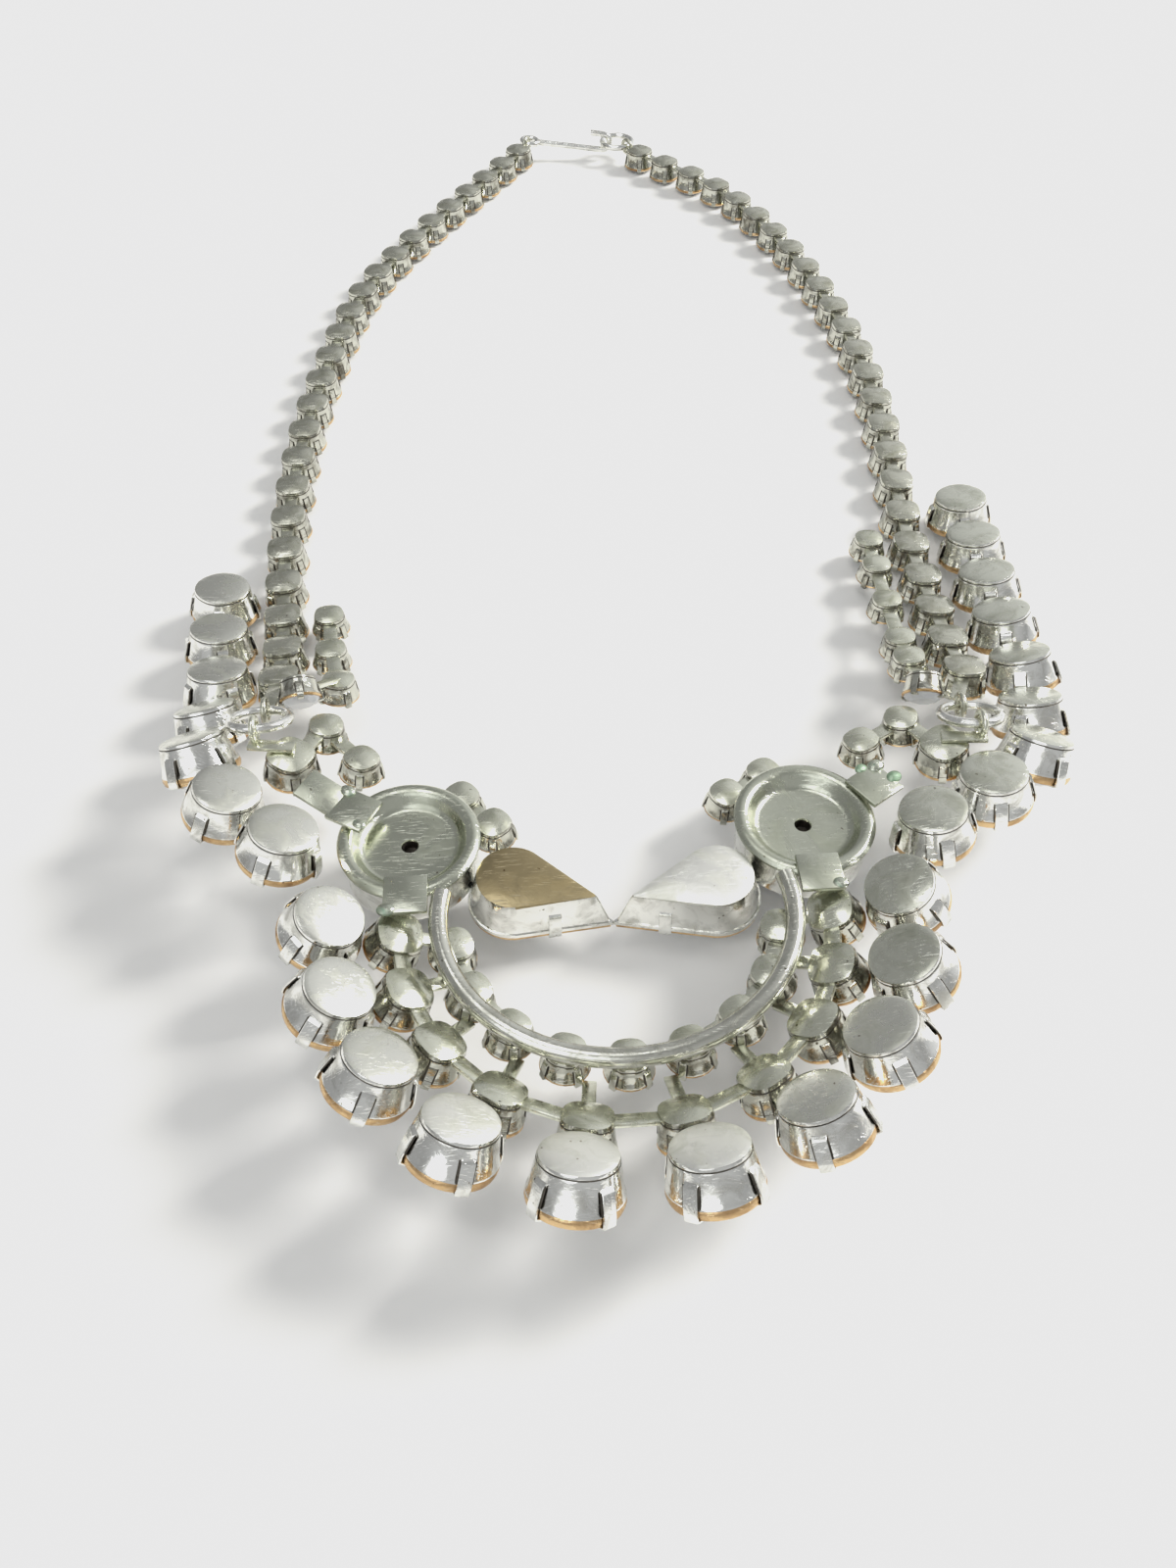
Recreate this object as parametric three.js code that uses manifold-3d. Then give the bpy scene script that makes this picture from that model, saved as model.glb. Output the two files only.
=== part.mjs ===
import * as THREE from 'three';
import Module from 'manifold-3d';
import { mergeVertices } from 'three/addons/utils/BufferGeometryUtils.js';

const wasm = await Module();
wasm.setup();

// Bib necklace lying face-down: the closed backs of its settings are up and its stones face the floor.
// Millimetres. X runs across the bib, Y from the bib to the clasp, Z up from the surface it lies on.

// Round settings: a flat closed back, a tapered wall and a faceted stone with a flat table
const largeSetting = {
  sides: 12,
  backRadius: 3.4,
  rimRadius: 4.05,
  wallHeight: 3.4,
  stoneHeight: 1.7,
  tableShare: 0.6,
};
const mediumSetting = {
  sides: 8,
  backRadius: 2.4,
  rimRadius: 2.75,
  wallHeight: 2.9,
  stoneHeight: 1.1,
  tableShare: 0.6,
};
const smallSetting = {
  sides: 8,
  backRadius: 1.9,
  rimRadius: 2.3,
  wallHeight: 2.3,
  stoneHeight: 0.9,
  tableShare: 0.6,
};
const prong = { count: 4, width: 1.15, thickness: 0.3, hook: 0.6, drop: 0.9 };

// Clearances: between pieces, between large stones, in loops, and of the chains over the surface
const pieceGap = 0.3;
const stoneGap = 0.3;
const loopPlay = 0.3;
const surfaceGap = 0.15;

// Flat link bars between the settings of a row
const link = { width: 1.65, thickness: 0.5, length: 1.5, neckWidth: 1.7, sink: 0.6, neckDrop: 1.1 };

// Two dished round settings with a rolled rim and a centre hole
const disc = {
  sides: 16,
  rimRadius: 7.25,
  rimWidth: 1.5,
  rimRise: 0.45,
  dishDepth: 1.15,
  dishSlope: 0.9,
  holeRadius: 0.75,
  holeDepth: 1.2,
  wallHeight: 4.6,
  stoneRadius: 6.6,
  stoneHeight: 4.2,
  tableShare: 0.55,
  along: 0.9,
};

// Two pear settings, tip to tip
const pear = {
  backRadius: 3.7,
  flare: 0.75,
  backEdge: 0.3,
  wallHeight: 4.2,
  stoneHeight: 1.7,
  tableShare: 0.55,
  arcSides: 14,
  leftBearing: -24.5,
  rightBearing: 211,
  tipGap: 0.1,
  tipAlong: -6.9,
  back: 8.1,
  dip: 3,
};

// Crescent: two rows of settings on a shallow cone, on a round rod bent to a U
const crescent = {
  turns: [11.5, 33.5, 53.8, 71.5, 89],
  along: -9.3,
  rowSides: [[-1, 'left'], [1, 'right']],
  sideLean: 26,
  bottomLean: 36,
  back: 8.2,
  bottomRise: 0.6,
  standOff: 0.6,
  closestStep: 17.7,
};
const rod = {
  radius: 0.95,
  sides: 8,
  steps: 24,
  rowSpacing: 3.67,
  discSpacing: 3.2,
  halfAlong: 14.8,
  turn: 102,
  along: -9.8,
  rise: 1.05,
};
const innerRow = { count: 9, turn: 84, inset: 1.35, lean: 10 };

// Small plates that tie the discs to the rows
const plate = {
  width: 4.3,
  length: 4.3,
  thickness: 0.5,
  strapBearing: 149,
  strapBend: 17,
  strapLength: 3.65,
  squareBearing: 22,
  squareTurn: 34,
  squareReach: 1.1,
};

// Small stones round the far side of each disc
const halo = { leftBearing: 24, rightBearing: 138 };

// Jump rings with their eyes, and the hook clasp
const ring = { radius: 3.1, wire: 0.55, steps: 14, wireSides: 6 };
const eye = { wire: 0.35, steps: 10, wireSides: 5 };
const hook = { loopRadius: 1.6, bend: 1.5, tip: 2.6, steps: 18 };

// Corners of one solid closer than this are one corner
const mergeDistance = 1e-4;

// What follows from the sizes above
const radians = THREE.MathUtils.degToRad;
const stonePitch = 2 * largeSetting.rimRadius + stoneGap;
const rowPitch = largeSetting.rimRadius + mediumSetting.rimRadius + pieceGap;
const chainPitch = 2 * mediumSetting.rimRadius + link.length;
const mediumHeight = mediumSetting.wallHeight + mediumSetting.stoneHeight;
const rimReach = largeSetting.wallHeight * Math.sin(radians(crescent.sideLean));
const rimChord = 2 * Math.sin(radians(crescent.closestStep / 2));
const rimCircle = (stonePitch + pieceGap) / rimChord;
const crescentRadius = rimCircle - rimReach - rowPitch * Math.cos(radians(crescent.sideLean))
  + crescent.standOff * Math.sin(radians(crescent.sideLean));
const rodHalfAcross = crescentRadius - rod.rowSpacing;
const discHalfSpan = rodHalfAcross + rod.discSpacing;

// Stones of the two wings, from the crescent out to the ends of the side panels. Across is from the
// middle of the disc on that side. Across, along and back are shares of the stone pitch; lean and
// toward are the tilt of the back, in degrees.
const wingStones = {
  left: [
    { across: -1.345, along: -0.1, back: 1.69, lean: 20, toward: 24 },
    { across: -2.075, along: 0.56, back: 1.68, lean: 18, toward: 15 },
    { across: -2.695, along: 1.56, back: 1.52, lean: 35, toward: 110 },
    { across: -2.755, along: 2.47, back: 1.13, lean: 34, toward: 106 },
    { across: -2.755, along: 3.41, back: 0.92, lean: 18, toward: 80 },
    { across: -2.895, along: 4.39, back: 0.8, lean: 12, toward: 60 },
    { across: -2.995, along: 5.39, back: 0.7, lean: 8, toward: 45 },
  ],
  right: [
    { across: 1.415, along: -0.19, back: 1.52, lean: 14, toward: 140 },
    { across: 2.285, along: 0.3, back: 1.55, lean: 12, toward: 130 },
    { across: 3.165, along: 1.0, back: 1.38, lean: 30, toward: 62 },
    { across: 3.355, along: 1.92, back: 1.14, lean: 30, toward: 100 },
    { across: 3.535, along: 2.87, back: 1.03, lean: 28, toward: 115 },
    { across: 3.595, along: 3.85, back: 0.94, lean: 20, toward: 125 },
    { across: 3.695, along: 4.84, back: 0.85, lean: 16, toward: 125 },
    { across: 3.795, along: 5.84, back: 0.77, lean: 12, toward: 125 },
    { across: 3.895, along: 6.86, back: 0.7, lean: 8, toward: 130 },
  ],
};

// Settings of the shoulders and of the inner rows beside the chains, in the same shares
const shoulderSeats = {
  left: [
    { across: -1.455, along: 1.3, back: 1.4, lean: 8, toward: 0, size: 'medium' },
    { across: -1.095, along: 1.95, back: 1.22, lean: 10, toward: 30, size: 'small' },
    { across: -0.625, along: 1.42, back: 1.14, lean: 10, toward: 30, size: 'small' },
  ],
  right: [
    { across: 1.895, along: 0.98, back: 1.36, lean: 8, toward: 180, size: 'medium' },
    { across: 1.525, along: 1.6, back: 1.2, lean: 10, toward: 150, size: 'small' },
    { across: 0.945, along: 1.3, back: 1.14, lean: 10, toward: 150, size: 'small' },
  ],
};
const panelSeats = {
  left: [
    { across: -1.525, along: 2.72, back: 1.3, lean: 60, toward: 100, size: 'small' },
    { across: -1.095, along: 3.2, back: 0.82, lean: 12, toward: 60, size: 'small' },
    { across: -1.295, along: 4.05, back: 0.62, lean: 6, toward: 60, size: 'small' },
    { across: -1.395, along: 4.88, back: 0.53, lean: 3, toward: 60, size: 'small' },
  ],
  right: [
    { across: 1.995, along: 2.28, back: 1.26, lean: 60, toward: 80, size: 'small' },
    { across: 2.035, along: 3.0, back: 0.95, lean: 12, toward: 120, size: 'small' },
    { across: 2.095, along: 3.6, back: 0.76, lean: 10, toward: 120, size: 'small' },
    { across: 2.155, along: 4.55, back: 0.64, lean: 6, toward: 120, size: 'small' },
    { across: 2.215, along: 5.45, back: 0.57, lean: 3, toward: 120, size: 'small' },
    { across: 2.255, along: 6.14, back: 0.52, lean: 3, toward: 120, size: 'small' },
  ],
};

// Centres of the two jump rings between bib and side panels, in the same shares
const ringSeats = {
  left: { across: -1.895, along: 1.88, back: 1.42, lean: 28, toward: 90 },
  right: { across: 2.355, along: 1.42, back: 1.36, lean: 28, toward: 90 },
};

// Route of the chains round the neck, from the side panels to the clasp, in the same shares: across,
// along, and the lift of the backs above where they are with the stones on the surface
const chainRoutes = {
  left: [
    [-1.917, 3.286, 0.405], [-1.988, 4.131, 0.19], [-2.119, 5.238, 0.036], [-2.25, 7.143, 0], [-2.214, 9.762, 0],
    [-1.952, 12.262, 0], [-1.452, 14.881, 0], [-0.548, 17.083, 0], [0.571, 19.167, 0], [1.929, 21.595, 0],
  ],
  right: [
    [2.726, 2.69, 0.536], [2.762, 3.548, 0.333], [2.857, 4.762, 0.119], [2.952, 6.429, 0], [3.214, 8.81, 0],
    [3.369, 11.548, 0], [3.167, 14.167, 0], [2.643, 16.786, 0], [1.714, 19.226, 0], [0.048, 21.333, 0],
  ],
};

const silver = { color: 0xc9cac4, roughness: 0.28, metalness: 1 };
const satinSilver = { color: 0xb9bab2, roughness: 0.42, metalness: 1 };
const brassTan = { color: 0xb59a6a, roughness: 0.4, metalness: 1 };
const root = new THREE.Group();

function addMesh(name, geometry, finish) {
  const mesh = new THREE.Mesh(geometry, new THREE.MeshStandardMaterial(finish));
  mesh.name = name;
  root.add(mesh);
  return mesh;
}

// Solids

function solidOf(geometry) {
  const bare = geometry.clone();
  bare.deleteAttribute('normal');
  bare.deleteAttribute('uv');
  const merged = mergeVertices(bare, mergeDistance);
  const corners = [];
  for (let i = 0; i < merged.index.count; i += 3) {
    const [a, b, c] = [0, 1, 2].map((step) => merged.index.getX(i + step));
    if (a !== b && b !== c && c !== a) corners.push(a, b, c);
  }
  const mesh = new wasm.Mesh({
    numProp: 3,
    vertProperties: new Float32Array(merged.attributes.position.array),
    triVerts: new Uint32Array(corners),
  });
  mesh.merge();
  return new wasm.Manifold(mesh);
}

function geometryOf(solid) {
  const mesh = solid.getMesh();
  const geometry = new THREE.BufferGeometry();
  geometry.setAttribute('position', new THREE.BufferAttribute(mesh.vertProperties, mesh.numProp));
  geometry.setIndex(new THREE.BufferAttribute(mesh.triVerts, 1));
  geometry.computeVertexNormals();
  return geometry;
}

function fused(geometries) {
  return geometries.map(solidOf).reduce((whole, piece) => whole.add(piece));
}

// A profile runs from the middle of the top face, down the outside, to the middle of the bottom
function turned(profile, sides) {
  const points = profile.map(([radius, height]) => new THREE.Vector2(radius, height)).reverse();
  const geometry = new THREE.LatheGeometry(points, sides);
  geometry.rotateX(Math.PI / 2);
  return geometry;
}

function tube(curve, steps, wire, sides) {
  const section = new THREE.Shape();
  for (let i = 0; i < sides; i += 1) {
    const angle = (2 * Math.PI * i) / sides;
    const [x, y] = [wire * Math.cos(angle), wire * Math.sin(angle)];
    if (i === 0) section.moveTo(x, y);
    else section.lineTo(x, y);
  }
  section.closePath();
  return new THREE.ExtrudeGeometry(section, { steps, extrudePath: curve, bevelEnabled: false });
}

function torus(radius, wire, sides, steps) {
  return new THREE.TorusGeometry(radius, wire, sides, steps);
}

// Places: a seat is the middle of a setting's back, with the way the back leans

function seatMatrix(seat) {
  const lean = radians(seat.lean);
  const toward = radians(seat.toward);
  const normal = new THREE.Vector3(
    Math.sin(lean) * Math.cos(toward),
    Math.sin(lean) * Math.sin(toward),
    Math.cos(lean),
  );
  const across = new THREE.Vector3(
    Math.cos(lean) * Math.cos(toward),
    Math.cos(lean) * Math.sin(toward),
    -Math.sin(lean),
  );
  const along = new THREE.Vector3().crossVectors(normal, across);
  return new THREE.Matrix4().makeBasis(across, along, normal).setPosition(seat.x, seat.y, seat.z);
}

function scaledSeat(row) {
  return {
    ...row,
    x: Math.sign(row.across) * discHalfSpan + row.across * stonePitch,
    y: row.along * stonePitch,
    z: row.back * stonePitch,
  };
}

function placed(geometry, seat) {
  return geometry.clone().applyMatrix4(seatMatrix(seat));
}

function addSeated(name, geometry, finish, seat) {
  const mesh = addMesh(name, geometry, finish);
  mesh.applyMatrix4(seatMatrix(seat));
  return mesh;
}

// Set stones

function settingProfile(setting) {
  const rim = -setting.wallHeight;
  return [
    [0, 0],
    [setting.backRadius, 0],
    [setting.rimRadius, rim],
    [setting.rimRadius * setting.tableShare, rim - setting.stoneHeight],
    [0, rim - setting.stoneHeight],
  ];
}

function prongSolid(setting) {
  const rim = -setting.wallHeight;
  const outer = setting.rimRadius + prong.thickness;
  const shape = new THREE.Shape();
  shape.moveTo(setting.backRadius - prong.thickness, -prong.drop);
  shape.lineTo(setting.backRadius + prong.thickness, -prong.drop);
  shape.lineTo(outer, rim);
  shape.lineTo(setting.rimRadius - prong.hook, rim - 2 * prong.hook);
  shape.closePath();
  const geometry = new THREE.ExtrudeGeometry(shape, { depth: prong.width, bevelEnabled: false });
  geometry.rotateX(Math.PI / 2);
  geometry.translate(0, prong.width / 2, 0);
  return geometry;
}

function setStone(setting, prongCount) {
  const pieces = [turned(settingProfile(setting), setting.sides)];
  for (let i = 0; i < prongCount; i += 1) {
    pieces.push(prongSolid(setting).rotateZ(((i + 0.5) * 2 * Math.PI) / prongCount));
  }
  return geometryOf(fused(pieces));
}

const largeStone = setStone(largeSetting, prong.count);
const settingOf = { medium: mediumSetting, small: smallSetting };
const plainStone = {
  medium: turned(settingProfile(mediumSetting), mediumSetting.sides),
  small: turned(settingProfile(smallSetting), smallSetting.sides),
};
Object.entries(plainStone).forEach(([size, stone]) => stone.rotateZ(Math.PI / settingOf[size].sides));

// A flat bar from one seat to the next, sunk a little below the backs
function linkBar(from, to, width = link.width) {
  const start = new THREE.Vector3(0, 0, -link.sink).applyMatrix4(seatMatrix(from));
  const end = new THREE.Vector3(0, 0, -link.sink).applyMatrix4(seatMatrix(to));
  const upFrom = new THREE.Vector3(0, 0, 1).transformDirection(seatMatrix(from));
  const upTo = new THREE.Vector3(0, 0, 1).transformDirection(seatMatrix(to));
  const ahead = end.clone().sub(start);
  const length = ahead.length();
  ahead.normalize();
  const up = upFrom.add(upTo).normalize();
  const side = new THREE.Vector3().crossVectors(up, ahead).normalize();
  up.crossVectors(ahead, side);
  const box = new THREE.BoxGeometry(length, width, link.thickness);
  const middle = start.add(end).multiplyScalar(0.5);
  return box.applyMatrix4(new THREE.Matrix4().makeBasis(ahead, side, up).setPosition(middle));
}

function settingRow(seats, extras = []) {
  const pieces = seats.map((seat) => placed(plainStone[seat.size], seat));
  for (let i = 1; i < seats.length; i += 1) {
    pieces.push(linkBar(seats[i - 1], seats[i]));
  }
  return geometryOf(fused([...pieces, ...extras]));
}

// Crescent

function crescentSeat(side, turn) {
  const angle = radians(turn);
  const share = Math.cos(angle);
  return {
    x: side * crescentRadius * Math.sin(angle),
    y: crescent.along - crescentRadius * Math.cos(angle),
    z: crescent.back + crescent.bottomRise * share,
    lean: crescent.sideLean + (crescent.bottomLean - crescent.sideLean) * share,
    toward: 90 + side * turn,
    size: 'medium',
  };
}

function outwardOf(seat, pitch, lift) {
  const spot = new THREE.Vector3(-pitch, 0, lift).applyMatrix4(seatMatrix(seat));
  return { ...seat, x: spot.x, y: spot.y, z: spot.z };
}

function rodPoint(turn, share = 1) {
  const angle = radians(turn);
  const top = crescent.back + crescent.bottomRise + rod.rise * (1 - Math.cos(angle));
  return new THREE.Vector3(
    share * rodHalfAcross * Math.sin(angle),
    rod.along - share * rod.halfAlong * Math.cos(angle),
    top,
  );
}

class BentRod extends THREE.Curve {
  getPoint(t, target = new THREE.Vector3()) {
    return target.copy(rodPoint(rod.turn * (2 * t - 1)));
  }
}

function innerSeat(turn) {
  const share = 1 - innerRow.inset / rodHalfAcross;
  const spot = rodPoint(turn, share);
  return {
    x: spot.x,
    y: spot.y,
    z: spot.z - rod.radius - pieceGap - innerRow.inset * Math.sin(radians(innerRow.lean)),
    lean: innerRow.lean,
    toward: 90 + turn,
    size: 'small',
  };
}

// From each setting of the middle row a short neck runs in under the rod
function rodNeck(seat) {
  const turn = Math.atan2(seat.x, rod.along - seat.y) * THREE.MathUtils.RAD2DEG;
  const foot = rodPoint(turn, 1 + (rod.radius + pieceGap) / rodHalfAcross);
  const low = outwardOf(seat, 0, -link.neckDrop);
  return linkBar(low, { ...low, x: foot.x, y: foot.y, z: foot.z - rod.radius }, link.neckWidth);
}

function buildCrescent() {
  const middleSeats = [];
  crescent.rowSides.forEach(([side, word]) => {
    crescent.turns.forEach((turn, i) => {
      const seat = crescentSeat(side, turn);
      if (side < 0) middleSeats.unshift(seat);
      else middleSeats.push(seat);
      const name = `outer_stone_${word}_${String(i + 1).padStart(2, '0')}`;
      addSeated(name, largeStone, silver, outwardOf(seat, rowPitch, crescent.standOff));
    });
  });
  addMesh('middle_row', settingRow(middleSeats, middleSeats.map(rodNeck)), satinSilver);
  const innerSeats = [];
  for (let i = 0; i < innerRow.count; i += 1) {
    innerSeats.push(innerSeat(innerRow.turn * ((2 * i) / (innerRow.count - 1) - 1)));
  }
  addMesh('inner_row', settingRow(innerSeats), satinSilver);
  addMesh('crescent_rod', tube(new BentRod(), rod.steps, rod.radius, rod.sides), silver);
}

function buildWings() {
  Object.entries(wingStones).forEach(([word, rows]) => {
    rows.forEach((row, i) => {
      const number = String(crescent.turns.length + i + 1).padStart(2, '0');
      addSeated(`outer_stone_${word}_${number}`, largeStone, silver, scaledSeat(row));
    });
  });
}

// Discs, with two small stones round the far side of each

const discTop = disc.wallHeight + disc.stoneHeight + surfaceGap;

function discSeat(side) {
  return { x: side * discHalfSpan, y: disc.along, z: discTop, lean: 0, toward: 0 };
}

function discSolid() {
  const inner = disc.rimRadius - disc.rimWidth;
  const dish = inner - disc.dishSlope;
  const profile = [
    [0, -disc.holeDepth - disc.dishDepth],
    [disc.holeRadius, -disc.holeDepth - disc.dishDepth],
    [disc.holeRadius, -disc.dishDepth],
    [dish, -disc.dishDepth],
    [inner, 0],
    [inner + disc.rimWidth / 2, disc.rimRise],
    [disc.rimRadius, 0],
    [disc.rimRadius, -disc.rimRise],
    [disc.stoneRadius, -disc.wallHeight],
    [disc.stoneRadius * disc.tableShare, -disc.wallHeight - disc.stoneHeight],
    [0, -disc.wallHeight - disc.stoneHeight],
  ];
  return turned(profile, disc.sides);
}

function buildDiscs() {
  const reach = disc.stoneRadius + smallSetting.rimRadius + pieceGap;
  const step = 2 * Math.asin((smallSetting.rimRadius + pieceGap) / reach) * THREE.MathUtils.RAD2DEG;
  crescent.rowSides.forEach(([side, word]) => {
    const seat = discSeat(side);
    addSeated(`round_setting_${word}`, discSolid(), satinSilver, seat);
    const first = halo[`${word}Bearing`];
    const haloSeats = [first, first - side * step].map((turn) => ({
      x: seat.x + reach * Math.cos(radians(turn)),
      y: seat.y + reach * Math.sin(radians(turn)),
      z: disc.stoneHeight + smallSetting.wallHeight,
      lean: 0,
      toward: turn,
      size: 'small',
    }));
    addMesh(`halo_${word}`, settingRow(haloSeats), satinSilver);
  });
}

// Pears: a round end and two straight sides that meet in a tip

function pearOutline(radius, length) {
  const toTip = length - radius;
  const tangent = Math.acos(radius / toTip);
  const points = [new THREE.Vector2(toTip, 0)];
  for (let i = 0; i <= pear.arcSides; i += 1) {
    const angle = tangent + ((2 * Math.PI - 2 * tangent) * i) / pear.arcSides;
    points.push(new THREE.Vector2(radius * Math.cos(angle), radius * Math.sin(angle)));
  }
  return points;
}

// Rings of the same number of points, from the top down, closed by a flat cap at each end
function stacked(rings) {
  const count = rings[0].points.length;
  const positions = [];
  rings.forEach(({ points, height }) => {
    points.forEach((point) => positions.push(point.x, point.y, height));
  });
  const corners = [];
  for (let level = 1; level < rings.length; level += 1) {
    for (let i = 0; i < count; i += 1) {
      const [a, b] = [(level - 1) * count + i, (level - 1) * count + ((i + 1) % count)];
      corners.push(a, b + count, b, a, a + count, b + count);
    }
  }
  const last = (rings.length - 1) * count;
  THREE.ShapeUtils.triangulateShape(rings[0].points, []).forEach(([a, b, c]) => {
    corners.push(a, b, c);
  });
  THREE.ShapeUtils.triangulateShape(rings[rings.length - 1].points, []).forEach(([a, b, c]) => {
    corners.push(last + a, last + c, last + b);
  });
  const geometry = new THREE.BufferGeometry();
  geometry.setAttribute('position', new THREE.Float32BufferAttribute(positions, 3));
  geometry.setIndex(corners);
  return geometry;
}

function pearSolid(length) {
  const { backRadius: radius, flare } = pear;
  const table = pear.tableShare;
  const rim = -pear.wallHeight;
  const layer = (growth, height, share = 1) => ({
    points: pearOutline((radius + growth) * share, (length + growth * (length / radius)) * share),
    height,
  });
  return geometryOf(solidOf(stacked([
    layer(0, 0),
    layer(pear.backEdge / 2, -pear.backEdge),
    layer(flare, rim),
    layer(flare - pear.backEdge, rim),
    layer(flare - pear.backEdge, rim - pear.stoneHeight, table),
  ])));
}

// Each pear reaches from the disc on its side to its tip near the middle
function buildPears() {
  const rimRadius = pear.backRadius + pear.flare;
  const reach = disc.stoneRadius + rimRadius + pieceGap;
  [['left', -1, pear.leftBearing], ['right', 1, pear.rightBearing]].forEach(([word, side, bearing]) => {
    const roundEnd = new THREE.Vector3(reach, 0, 0).applyAxisAngle(
      new THREE.Vector3(0, 0, 1),
      radians(bearing),
    );
    roundEnd.add(new THREE.Vector3(side * discHalfSpan, disc.along, pear.back));
    const toTip = new THREE.Vector3((side * pear.tipGap) / 2, pear.tipAlong, pear.back).sub(roundEnd);
    const length = (toTip.length() + rimRadius) * (pear.backRadius / rimRadius);
    const finish = side < 0 ? brassTan : silver;
    const mesh = addMesh(`pear_setting_${word}`, pearSolid(length), finish);
    mesh.rotation.set(0, radians(pear.dip), Math.atan2(toTip.y, toTip.x), 'ZYX');
    mesh.position.copy(roundEnd);
  });
}

// Plates

function discSpot(side, bearing, reach) {
  const angle = radians(bearing);
  return { x: side * discHalfSpan + reach * Math.cos(angle), y: disc.along + reach * Math.sin(angle) };
}

function plateSolid(width = plate.width, length = plate.length) {
  return new THREE.BoxGeometry(width, length, plate.thickness);
}

function buildPlates() {
  const over = discTop + disc.rimRise + pieceGap + plate.thickness / 2;
  const overlap = plate.thickness;
  crescent.rowSides.forEach(([side, word]) => {
    const lower = addMesh(`solder_plate_${word}_lower`, plateSolid(), satinSilver);
    lower.position.set(side * discHalfSpan, disc.along - disc.rimRadius - pieceGap, over);
  });
  const strapSpot = discSpot(-1, plate.strapBearing, disc.rimRadius - disc.rimWidth / 2);
  const bend = radians(plate.strapBend);
  const far = plateSolid(plate.width, plate.strapLength);
  far.translate(-plate.width / 2, 0, 0).rotateY(bend).translate((overlap - plate.width) / 2, 0, 0);
  const strap = geometryOf(fused([plateSolid(), far]));
  const strapMesh = addMesh('solder_plate_left_upper', strap, satinSilver);
  strapMesh.rotation.z = radians(plate.strapBearing + 180);
  strapMesh.position.set(strapSpot.x, strapSpot.y, over);

  const squareSpot = discSpot(1, plate.squareBearing, disc.rimRadius + plate.squareReach);
  const square = addMesh('solder_plate_right_upper', plateSolid(), satinSilver);
  square.rotation.z = radians(plate.squareTurn);
  square.position.set(squareSpot.x, squareSpot.y, over);
}

// Jump rings, with the eye that holds each on its row

function ringSpot(seat, turn, reach) {
  return new THREE.Vector3(reach * Math.cos(radians(turn)), reach * Math.sin(radians(turn)), 0)
    .applyMatrix4(seatMatrix(seat));
}

const eyeRadius = ring.wire + loopPlay + eye.wire;
const chainEyeReach = mediumSetting.backRadius + eyeRadius;

// An eye stands across the ring's wire, and a bar runs from its outer side to the row
function ringEye(seat, turn, rowSeat) {
  const loop = torus(eyeRadius, eye.wire, eye.wireSides, eye.steps);
  loop.rotateX(Math.PI / 2).rotateZ(radians(turn));
  const out = new THREE.Vector3(ring.radius, 0, 0).applyAxisAngle(
    new THREE.Vector3(0, 0, 1),
    radians(turn),
  );
  loop.translate(out.x, out.y, 0).applyMatrix4(seatMatrix(seat));
  const edge = ringSpot(seat, turn, ring.radius + eyeRadius);
  const bar = linkBar(
    { ...seat, x: edge.x, y: edge.y, z: edge.z + link.sink },
    rowSeat,
    link.width,
  );
  return [loop, bar];
}

function chainSeats(word) {
  const side = word === 'left' ? -1 : 1;
  const curve = new THREE.CatmullRomCurve3(chainRoutes[word].map(([across, along, lift]) => (
    new THREE.Vector3(across, along, lift)
      .multiplyScalar(stonePitch)
      .add(new THREE.Vector3(side * discHalfSpan, 0, mediumHeight + surfaceGap)))));
  const count = Math.round(curve.getLength() / chainPitch);
  const seats = [];
  for (let i = 0; i <= count; i += 1) {
    const spot = curve.getPointAt(i / count);
    const ahead = curve.getTangentAt(i / count);
    const slope = Math.atan2(-ahead.z, Math.hypot(ahead.x, ahead.y));
    seats.push({
      x: spot.x,
      y: spot.y,
      z: spot.z - mediumHeight * (1 - Math.cos(slope)),
      lean: slope * THREE.MathUtils.RAD2DEG,
      toward: Math.atan2(ahead.y, ahead.x) * THREE.MathUtils.RAD2DEG,
      size: 'medium',
    });
  }
  return seats;
}

function buildSides() {
  Object.keys(chainRoutes).forEach((word) => {
    const ringSeat = scaledSeat(ringSeats[word]);
    const joiner = torus(ring.radius, ring.wire, ring.wireSides, ring.steps);
    addSeated(`joining_ring_${word}`, joiner, silver, ringSeat);

    const seats = chainSeats(word);
    const claspEye = torus(eyeRadius, eye.wire, eye.wireSides, eye.steps);
    const last = seats[seats.length - 1];
    claspEye.rotateX(Math.PI / 2).translate(chainEyeReach, 0, -link.sink);
    const chainExtras = [...ringEye(ringSeat, 0, seats[0]), placed(claspEye, last)];
    addMesh(`back_chain_${word}`, settingRow(seats, chainExtras), silver);

    const shoulder = shoulderSeats[word].map(scaledSeat);
    const shoulderExtras = ringEye(ringSeat, 180, shoulder[0]);
    addMesh(`shoulder_row_${word}`, settingRow(shoulder, shoulderExtras), satinSilver);
    addMesh(`panel_row_${word}`, settingRow(panelSeats[word].map(scaledSeat)), satinSilver);
  });
}

// Clasp: a wire hook whose bend holds the ring at the end of the other chain

class HookWire extends THREE.Curve {
  constructor(shank) {
    super();
    this.shank = shank;
  }

  getPoint(t, target = new THREE.Vector3()) {
    const arc = Math.PI * hook.bend;
    const run = t * (this.shank + arc + hook.tip);
    if (run < this.shank) return target.set(run, 0, 0);
    if (run < this.shank + arc) {
      const angle = (run - this.shank) / hook.bend;
      const rise = hook.bend * (1 - Math.cos(angle));
      return target.set(this.shank + hook.bend * Math.sin(angle), 0, rise);
    }
    return target.set(this.shank - (run - this.shank - arc), 0, 2 * hook.bend);
  }
}

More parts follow.
